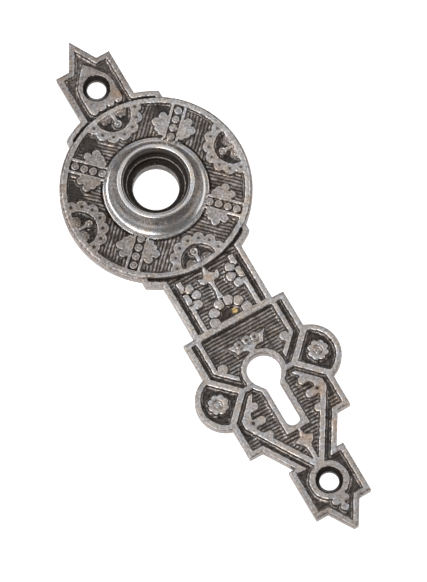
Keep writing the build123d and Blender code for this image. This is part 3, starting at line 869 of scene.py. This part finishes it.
def middle_point(around, is_smooth, next_smooth):
    """Point midway between four neighbours, on a curve beside smooth ones."""
    p0, p1, p2, p3 = around
    if is_smooth and next_smooth:
        return (9 * (p1 + p2) - p0 - p3) / 16
    if next_smooth:
        return (3 * p1 + 6 * p2 - p3) / 8
    if is_smooth:
        return (6 * p1 + 3 * p2 - p0) / 8
    return (p1 + p2) / 2


def rounded_loop(loop, spacing):
    """Loop with more points, on a curve where it bends gently."""
    smooth = None
    while True:
        ahead = np.roll(loop, -1, 0) - loop
        length = np.hypot(*ahead.T)
        if length.max() <= spacing:
            return loop
        if smooth is None:
            behind = np.roll(ahead, 1, 0)
            bend = np.abs(np.arctan2(np.cross(behind, ahead), (behind * ahead).sum(1)))
            before = np.roll(length, 1)
            uneven = np.maximum(length, before) > SAME_SPACING * np.minimum(length, before)
            smooth = (bend < CORNER_TURN) & ~uneven
        new = []
        flags = []
        for k in range(len(loop)):
            new.append(loop[k])
            flags.append(smooth[k])
            if length[k] > spacing:
                around = [loop[(k + shift) % len(loop)] for shift in (-1, 0, 1, 2)]
                new.append(middle_point(around, smooth[k], smooth[(k + 1) % len(loop)]))
                flags.append(True)
        loop = np.array(new)
        smooth = np.array(flags)


def enclosed_area(loop):
    """Area inside a loop."""
    return abs(np.cross(loop, np.roll(loop, -1, 0)).sum()) / 2


def is_inside(points, loop):
    """Whether each point lies inside a loop."""
    x, y = points.T
    inside = np.zeros(len(points), dtype=bool)
    for (ax, ay), (bx, by) in zip(loop, np.roll(loop, -1, 0)):
        if ay != by:
            inside ^= ((ay > y) != (by > y)) & (x < ax + (y - ay) * (bx - ax) / (by - ay))
    return inside


def in_front(points):
    """Whether each point is inside the outline and outside the holes."""
    inside = is_inside(points, outline)
    for loop in hole_loops:
        inside &= ~is_inside(points, loop)
    return inside


# Edges of the plate, of its holes and of the hollow in the back
flat_loops = sorted(boundary_loops(), key=enclosed_area)
outline = rounded_loop(flat_loops.pop(), LOOP_SPACING)
hole_loops = []
hollow_loops = []
for loop in flat_loops:
    middle = loop.mean(0)
    radius = np.hypot(*(loop - middle).T).mean()
    width, length = np.ptp(loop, axis=0)
    is_screw = abs(radius - screw_radius) < SAME_RADIUS
    is_bore = abs(radius - bore_radius) < SAME_RADIUS
    is_keyhole = width < KEYHOLE_MOST[0] and 2 * radius < length < KEYHOLE_MOST[1]
    if is_screw or is_keyhole:
        hole_loops.append(rounded_loop(loop, LOOP_SPACING))
    elif not is_bore:
        hollow_loops.append(rounded_loop(loop, HOLLOW_SPACING))
turn = 2 * pi * np.arange(HUB_SIDES) / HUB_SIDES
ring_way = np.column_stack((np.cos(turn), np.sin(turn)))
hub_loop = HUB_JOIN * ring_way
bore_loop = bore_radius * ring_way


def crossings(field, level):
    """Points where a field passes a level."""
    found = []
    value = field - level
    for here, there, across, up in ((value[:-1], value[1:], 0, 1), (value[:, :-1], value[:, 1:], 1, 0)):
        i, j = np.nonzero(here * there < 0)
        share = here[i, j] / (here[i, j] - there[i, j])
        found.append(np.column_stack((left + STEP * (j + across * share), below + STEP * (i + up * share))))
    return np.concatenate(found)


def spread(candidates, spacing, taken):
    """Candidates that keep their spacing from what is placed."""
    reach = int(round(spacing / CELL))
    span = np.arange(-reach, reach + 1)
    stamp = span[:, None] ** 2 + span[None, :] ** 2 < reach**2 + 0.5
    j = ((candidates[:, 0] - left) / CELL).astype(int)
    i = ((candidates[:, 1] - below) / CELL).astype(int)
    kept = []
    for k in range(len(candidates)):
        if taken[i[k], j[k]]:
            continue
        taken[i[k] - reach:i[k] + reach + 1, j[k] - reach:j[k] + reach + 1] |= stamp
        kept.append(k)
    return candidates[kept]


def lattice(spacing_x, spacing_y, way=0.0):
    """Staggered rows of points over the plate, turned by an angle."""
    reach = np.hypot(high_corner[1] - low_corner[1], high_corner[0])
    u, v = np.meshgrid(np.arange(-reach, reach, spacing_x), np.arange(-reach, reach, spacing_y))
    u = u + np.where(np.arange(len(v)) % 2, spacing_x / 2, 0)[:, None]
    x = (u * cos(way) - v * sin(way)).ravel()
    y = (u * sin(way) + v * cos(way)).ravel()
    inside = (np.abs(x) < high_corner[0]) & (y > low_corner[1]) & (y < high_corner[1])
    return np.column_stack((x[inside], y[inside]))


def usable(points):
    """Points clear of the edges and of the hub."""
    clear = sample(plate_in, points) > LEAST_INSET
    return points[clear & (np.hypot(*points.T) > HUB_JOIN + HUB_GAP)]


def new_plan():
    """Empty plan of the places that are taken."""
    cells = STEP / CELL
    return np.zeros((int(rows * cells) + SPARE_CELLS, int(columns * cells) + SPARE_CELLS), dtype=bool)


def level_points(taken):
    """Points along the walls, the hub's lip, countersinks and round edges."""
    found = []
    for level in WALL_LEVELS:
        wall_points = np.concatenate((crossings(relief_in, level), crossings(DISC_RISE - R, level / 2)))
        wall_taken = taken.copy() if level == WALL_LEVELS[0] else new_plan()
        found.append(spread(usable(wall_points), WALL_SPACING, wall_taken))
    for field, steps, spacing in (
        (R - HUB_FOOT, HUB_LEVELS, WALL_SPACING),
        (screw_away - SCREW_HEAD, SCREW_LEVELS, WALL_SPACING),
        (plate_in, ROUND_LEVELS, ROUND_SPACING),
    ):
        for level in steps:
            found.append(spread(usable(crossings(field, level)), spacing, new_plan()))
    return found


def hatch_points():
    """Rows of points along the striations, turned with them on the disc."""
    found = []
    for way in HATCH_WAYS:
        points = usable(lattice(HATCH_ALONG, HATCH_ACROSS, way))
        zone = points.prod(1) * (np.hypot(*points.T) < DISC_RISE)
        mine = np.sign(zone) == np.sign(way)
        found.append(points[mine & (sample(hatched, points) > LEAST_HATCH)])
    return np.concatenate(found)


def carving_points():
    """Close points where the tops are carved."""
    carved = (np.abs(carving) > LEAST_CARVING).astype(float) * (stands > LEAST_STAND)
    points = usable(lattice(DETAIL_SPACING, DETAIL_SPACING * ROW_SHARE))
    return points[sample(wide_blur(carved, CURVED_WINDOW), points) > LEAST_CURVED]


def clear_of_edges(points, loops):
    """Points that don't lie on the edges of the loops."""
    clear = np.ones(len(points), dtype=bool)
    near = np.flatnonzero(np.abs(sample(plate_in, points)) < EDGE_SEARCH)
    for loop in loops:
        for start, end in zip(loop, np.roll(loop, -1, 0)):
            along = end - start
            offset = points[near] - start
            share = np.clip(offset @ along / (along @ along), 0, 1)
            gap = np.hypot(*(offset - share[:, None] * along).T)
            clear[near[gap < EDGE_GAP]] = False
    return points[clear]


def triangulated(loops, inner_points):
    """Points and triangles of an area, and the places of its loops."""
    points = np.concatenate([*loops, inner_points])
    ends = np.cumsum([len(loop) for loop in loops]).tolist()
    edges = []
    for end, loop in zip(ends, loops):
        start = end - len(loop)
        edges += [(start + k, start + (k + 1) % len(loop)) for k in range(len(loop))]
    made = delaunay_2d_cdt([Vector(p) for p in points], edges, [], WHOLE_HULL, SAME_POINT)
    new_place = np.zeros(len(points), dtype=int)
    for k, sources in enumerate(made[3]):
        new_place[sources] = k
    return np.array([p[:] for p in made[0]]), np.array(made[2]), np.split(new_place, ends)[:-1]


# Points of the front, from the edges and walls to the flats
front_loops = [outline, *hole_loops, hub_loop]
all_taken = new_plan()
for loop in front_loops:
    spread(loop, LOOP_GAP, all_taken)
chosen = level_points(all_taken)
for points in chosen:
    spread(points, WALL_GAP, all_taken)
chosen.append(spread(hatch_points(), HATCH_GAP, all_taken))
chosen.append(spread(carving_points(), DETAIL_GAP, all_taken))
chosen.append(spread(usable(lattice(FLAT_SPACING, FLAT_SPACING * ROW_SHARE)), FLAT_GAP, all_taken))
inner_points = clear_of_edges(np.concatenate(chosen), [outline, *hole_loops])

# Triangles of the front, and the heights of its points
plan, faces, loop_places = triangulated(front_loops, inner_points)
middles = plan[faces].mean(1)
depth_in = sample(plate_in, middles)
keep = depth_in > 0
close = np.abs(depth_in) < EDGE_BELT
keep[close] = in_front(middles[close])
keep &= ~is_inside(middles, hub_loop)
front_height = sample(front, plan)
for loop, place in zip(front_loops, loop_places):
    if loop is outline:
        front_height[place] = plate_top - OUTLINE_ROUND + sample(lumps, loop)
    elif loop is hub_loop:
        front_height[place] = cove_height(HUB_JOIN)
    elif np.ptp(loop[:, 1]) < 3 * screw_radius:
        front_height[place] = plate_top - (SCREW_HEAD - screw_radius) / np.tan(SCREW_SLOPE)
    else:
        front_height[place] = plate_top - HOLE_ROUND
rust = spots(RUST_SPOTS, *plan.T)
brass = fade(*BRASS_EDGE, np.hypot(*(plan - BRASS_SPOT[:2]).T) / BRASS_SPOT[2])
brass *= sample(stands, plan) < BRASS_HIGHEST

# One mesh of the front, hub, side walls and back, with the wear and painted light of each corner
# Wear with painted light and shade, depth, rust, brass and polish of each corner
WEAR_NAMES = ("wear_and_painted_light", "depth", "rust", "brass", "polish")
corners = [np.column_stack((plan, front_height))]
wears = [np.column_stack((sample(wear_and_painted_light, plan), sample(depth, plan), rust, brass, sample(polish, plan)))]
polygons = faces[keep].tolist()


def add_corners(points, wear, shade, gloss=PLAIN_POLISH):
    """New corners of the mesh with their wear, and their numbers."""
    start = sum(len(part) for part in corners)
    corners.append(np.asarray(points, dtype=float))
    plain = np.zeros(len(points))
    wears.append(np.column_stack((plain + wear, plain + shade, plain, plain, plain + gloss)))
    return np.arange(start, start + len(points))


def bridge(upper, lower):
    """Faces between two rings of corners."""
    polygons.extend(zip(upper, lower, np.roll(lower, -1), np.roll(upper, -1)))


def hub_section():
    """Radius, height and wear of the hub's rings, from cove to bore, with painted shade in the socket."""
    cove_shares = np.linspace((HUB_FOOT - HUB_JOIN) / (HUB_FOOT - HUB_RIM), 1, COVE_RINGS) ** COVE_POWER
    cove_radii = HUB_FOOT - (HUB_FOOT - HUB_RIM) * np.sin(cove_shares / cove_shares[-1] * pi / 2)
    cove_radii = cove_radii[cove_radii < HUB_JOIN - COVE_GAP]
    cove_rings = [(radius, float(cove_height(radius)), HUB_WEAR) for radius in cove_radii]
    bore_rings = [(bore_radius, height, wear) for height, wear in BORE_RINGS]
    return cove_rings + HUB_RINGS + bore_rings


def add_hub(ring):
    """Turned hub on the ring at its foot, and its last ring."""
    for radius, height, wear in hub_section():
        wobble = sum(size * np.sin(waves * turn + twist * height) for size, waves, twist in HUB_WOBBLES)
        lift = np.minimum(height + wobble, hub_top)
        gloss = HUB_POLISH if wear > BRIGHT_WEAR else SOCKET_POLISH
        new_ring = add_corners(np.column_stack((radius * ring_way, lift)), wear, 0.0, gloss)
        bridge(ring, new_ring)
        ring = new_ring
    return ring


def add_back():
    """Flat lip and bosses with a shallow hollow between, and the lip's edges."""
    fill = lattice(*BACK_SPACING)
    clear = sample(plate_in, fill) > BACK_EDGE_GAP
    fill = fill[clear & (np.hypot(*fill.T) > BACK_HUB_GAP)]
    for loop in hollow_loops:
        gaps = np.array([np.hypot(*(loop - point).T).min() for point in fill])
        fill = fill[gaps > BACK_LOOP_GAP]
    edge_loops = [outline, *hole_loops, bore_loop]
    back_plan, back_faces, back_places = triangulated(edge_loops + hollow_loops, fill)
    face_middles = back_plan[back_faces].mean(1)
    solid = in_front(face_middles) & ~is_inside(face_middles, bore_loop)
    in_hollow = np.zeros(len(face_middles), dtype=bool)
    for loop in hollow_loops:
        in_hollow ^= is_inside(face_middles, loop)
    flat_at = add_corners(np.insert(back_plan, 2, 0, axis=1), BACK_WEAR, 0)
    deep_at = add_corners(np.insert(back_plan, 2, hollow_depth, axis=1), HOLLOW_WEAR, HOLLOW_SHADE)
    for face, is_hollow in zip(back_faces[solid], in_hollow[solid]):
        numbers = deep_at[face] if is_hollow else flat_at[face]
        polygons.append(numbers[::-1].tolist())
    for place in back_places[len(edge_loops):]:
        bridge(deep_at[place], flat_at[place])
    return [flat_at[place] for place in back_places[:len(edge_loops)]]


def made_mesh(name):
    """Mesh object of the corners in use, with their wear."""
    all_corners = np.concatenate(corners) * MM
    all_wears = np.concatenate(wears)
    used = np.unique(np.concatenate(polygons))
    number = np.full(len(all_corners), -1)
    number[used] = np.arange(len(used))
    mesh = bpy.data.meshes.new(name)
    new_faces = [number[list(face)].tolist() for face in polygons]
    mesh.from_pydata(all_corners[used].tolist(), [], new_faces)
    for column, label in enumerate(WEAR_NAMES):
        attribute = mesh.attributes.new(label, "FLOAT", "POINT")
        attribute.data.foreach_set("value", all_wears[used, column].astype(np.float32))
    shell = bmesh.new()
    shell.from_mesh(mesh)
    bmesh.ops.recalc_face_normals(shell, faces=shell.faces)
    shell.to_mesh(mesh)
    shell.free()
    mesh.polygons.foreach_set("use_smooth", np.ones(len(mesh.polygons), dtype=bool))
    mesh.set_sharp_from_angle(angle=SHARP_ANGLE)
    mesh.validate()
    mesh.update()
    piece = bpy.data.objects.new(name, mesh)
    scene.collection.objects.link(piece)
    return piece


bore_end = add_hub(loop_places[-1])
*lip_edges, bore_edge = add_back()
for upper, lower in zip(loop_places[:-1], lip_edges):
    bridge(upper, lower)
bridge(bore_end, bore_edge)
casting = made_mesh("backplate_casting")


def cast_iron():
    """Old cast iron: rubbed grey on the tops, dark dirt and painted shade in the hollows, and painted
    highlights along the walls.
    """
    material = bpy.data.materials.new("old_cast_iron")
    material.use_nodes = True
    nodes = material.node_tree.nodes
    links = material.node_tree.links
    shader = nodes["Principled BSDF"]
    place = nodes.new("ShaderNodeTexCoord").outputs["Object"]

    def set_socket(socket, value):
        if isinstance(value, tuple):
            socket.default_value = (*value, 1)
        elif isinstance(value, (int, float)):
            socket.default_value = value
        else:
            links.new(value, socket)

    def noise(name):
        node = nodes.new("ShaderNodeTexNoise")
        for label, value in zip(("Scale", "Detail", "Roughness"), PATTERNS[name]):
            node.inputs[label].default_value = value
        links.new(place, node.inputs["Vector"])
        return node.outputs["Fac"]

    def wear(label):
        node = nodes.new("ShaderNodeAttribute")
        node.attribute_name = label
        return node.outputs["Fac"]

    def maths(operation, first, second):
        node = nodes.new("ShaderNodeMath")
        node.operation = operation
        set_socket(node.inputs[0], first)
        set_socket(node.inputs[1], second)
        return node.outputs[0]

    def times(first, second):
        return maths("MULTIPLY", first, second)

    def about_middle(value, amount):
        return times(maths("SUBTRACT", value, PATTERN_MIDDLE), amount)

    def ranged(value, ends):
        node = nodes.new("ShaderNodeMapRange")
        node.interpolation_type = "SMOOTHSTEP"
        links.new(value, node.inputs["Value"])
        for label, number in zip(("From Min", "From Max", "To Min", "To Max"), ends):
            node.inputs[label].default_value = number
        return node.outputs["Result"]

    def mixed(blend, share, first, second):
        node = nodes.new("ShaderNodeMix")
        node.data_type = "RGBA"
        node.blend_type = blend
        set_socket(node.inputs["Factor"], share)
        set_socket(node.inputs[6], first)
        set_socket(node.inputs[7], second)
        return node.outputs[2]

    def ramp(value, stops):
        node = nodes.new("ShaderNodeValToRGB")
        span = stops[-1][0]
        elements = node.color_ramp.elements
        elements.remove(elements[1])
        elements[0].position = stops[0][0] / span
        elements[0].color = (*stops[0][1], 1)
        for position, colour in stops[1:]:
            elements.new(position / span).color = (*colour, 1)
        links.new(maths("DIVIDE", value, span), node.inputs["Fac"])
        return node.outputs["Color"]

    patches = noise("patches")
    grain = noise("grain")
    # Wear and painted light from the mesh, with random patches and grain
    bare_and_painted_light = maths("ADD", wear("wear_and_painted_light"), about_middle(patches, PATCH_WEAR))
    bare_and_painted_light = maths("ADD", bare_and_painted_light, about_middle(grain, GRAIN_WEAR))
    # Painted shade in the hollows and painted light on raised parts
    bare_and_painted_light = maths("ADD", bare_and_painted_light, times(wear("depth"), DEPTH_SHADING))
    bare_and_painted_light = maths("SUBTRACT", bare_and_painted_light, times(ranged(noise("pits"), PIT_RANGE), PIT_GRIME))
    bright_specks = ranged(noise("bright_specks"), SPECK_RANGE)
    bare_and_painted_light = maths("ADD", bare_and_painted_light, times(bright_specks, SPECK_WEAR))

    shade_share = ranged(wear("polish"), SHADE_SHARE)
    colour = mixed("MULTIPLY", shade_share, ramp(bare_and_painted_light, COLOURS), ramp(noise("shades"), SHADES))
    colour = mixed("MULTIPLY", 1.0, colour, ramp(noise("tints"), TINTS))
    rusty = times(ranged(noise("blotches"), BLOTCH_RANGE), BLOTCH_RUST)
    rust_patches = times(wear("rust"), ranged(patches, RUST_RANGE))
    colour = mixed("MULTIPLY", maths("MAXIMUM", rusty, rust_patches), colour, RUST_TINT)
    fleck = times(wear("brass"), ranged(noise("brass"), BRASS_RANGE))
    links.new(mixed("MIX", fleck, colour, BRASS), shader.inputs["Base Color"])

    links.new(ranged(bare_and_painted_light, METAL_SHARE), shader.inputs["Metallic"])
    roughness = ranged(bare_and_painted_light, ROUGHNESS)
    roughness = maths("SUBTRACT", roughness, times(wear("polish"), POLISH_ROUGHNESS))
    roughness = maths("ADD", roughness, about_middle(grain, GRAIN_ROUGHNESS))
    links.new(roughness, shader.inputs["Roughness"])
    socket_gloss = ranged(wear("polish"), SOCKET_GLOSS)
    grime_gloss = ranged(bare_and_painted_light, GRIME_GLOSS)
    links.new(times(socket_gloss, grime_gloss), shader.inputs["Specular IOR Level"])

    bump = nodes.new("ShaderNodeBump")
    bump.inputs["Distance"].default_value = BUMP_HEIGHT * MM
    links.new(ranged(wear("polish"), BUMP_STRENGTH), bump.inputs["Strength"])
    grain_height = times(grain, GRAIN_BUMP)
    speck_height = times(noise("specks"), SPECK_BUMP)
    links.new(maths("ADD", grain_height, speck_height), bump.inputs["Height"])
    links.new(bump.outputs["Normal"], shader.inputs["Normal"])
    return material


casting.data.materials.append(cast_iron())
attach(casting, BODY)
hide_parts(NODE)


def white_table():
    """Matt white that glows where it is looked at."""
    material = bpy.data.materials.new("white_table")
    material.use_nodes = True
    nodes = material.node_tree.nodes
    links = material.node_tree.links
    nodes.remove(nodes["Principled BSDF"])
    paper = nodes.new("ShaderNodeBsdfDiffuse")
    paper.inputs["Color"].default_value = (*TABLE_COLOUR, 1)
    glow = nodes.new("ShaderNodeEmission")
    rays = nodes.new("ShaderNodeLightPath")
    seen = rays.outputs["Is Camera Ray"]
    for label in ("Is Glossy Ray", "Is Transmission Ray"):
        most = nodes.new("ShaderNodeMath")
        most.operation = "MAXIMUM"
        links.new(seen, most.inputs[0])
        links.new(rays.outputs[label], most.inputs[1])
        seen = most.outputs[0]
    strength = nodes.new("ShaderNodeMath")
    strength.operation = "MULTIPLY"
    strength.inputs[1].default_value = TABLE_GLOW
    links.new(seen, strength.inputs[0])
    links.new(strength.outputs[0], glow.inputs["Strength"])
    total = nodes.new("ShaderNodeAddShader")
    links.new(paper.outputs[0], total.inputs[0])
    links.new(glow.outputs[0], total.inputs[1])
    links.new(total.outputs[0], nodes["Material Output"].inputs["Surface"])
    return material


def table_top():
    """Large floor that takes the plate's soft shadow."""
    size = TABLE_HALF
    edge = [(-size, -size, 0), (size, -size, 0), (size, size, 0), (-size, size, 0)]
    mesh = bpy.data.meshes.new("floor")
    mesh.from_pydata(edge, [], [(0, 1, 2, 3)])
    mesh.materials.append(white_table())
    floor = bpy.data.objects.new("floor", mesh)
    floor.location = (0, 0, -TABLE_DROP * MM)
    scene.collection.objects.link(floor)


def soft_box(name, direction, distance, size, power, colour):
    """Rectangular lamp that looks at the plate from a direction."""
    lamp = bpy.data.lights.new(name, "AREA")
    lamp.shape = "RECTANGLE"
    lamp.size, lamp.size_y = size
    lamp.energy = power
    lamp.color = colour
    holder = bpy.data.objects.new(name, lamp)
    away = Vector(direction).normalized()
    holder.location = Vector(TARGET) * MM + away * distance
    holder.rotation_euler = away.to_track_quat("Z", "Y").to_euler()
    scene.collection.objects.link(holder)


def studio_world():
    """Even white light from all sides."""
    world = bpy.data.worlds.new("studio")
    world.use_nodes = True
    background = world.node_tree.nodes["Background"]
    background.inputs["Color"].default_value = (*WHITE, 1)
    background.inputs["Strength"].default_value = WORLD_STRENGTH
    scene.world = world


def photo_camera():
    """Long lens that looks down at the plate."""
    camera = bpy.data.cameras.new("camera")
    camera.sensor_width = SENSOR
    camera.lens = LENS
    camera.clip_start = CLIP_START
    camera.clip_end = CLIP_END
    holder = bpy.data.objects.new("camera", camera)
    level = cos(ELEVATION)
    back_way = Vector((sin(AZIMUTH) * level, -cos(AZIMUTH) * level, sin(ELEVATION)))
    holder.location = (Vector(TARGET) + back_way * DISTANCE) * MM
    holder.rotation_euler = back_way.to_track_quat("Z", "Y").to_euler()
    scene.collection.objects.link(holder)
    scene.camera = holder


table_top()
for name, settings in LAMPS.items():
    soft_box(name, *settings)
studio_world()
photo_camera()
scene.view_settings.view_transform = "Standard"
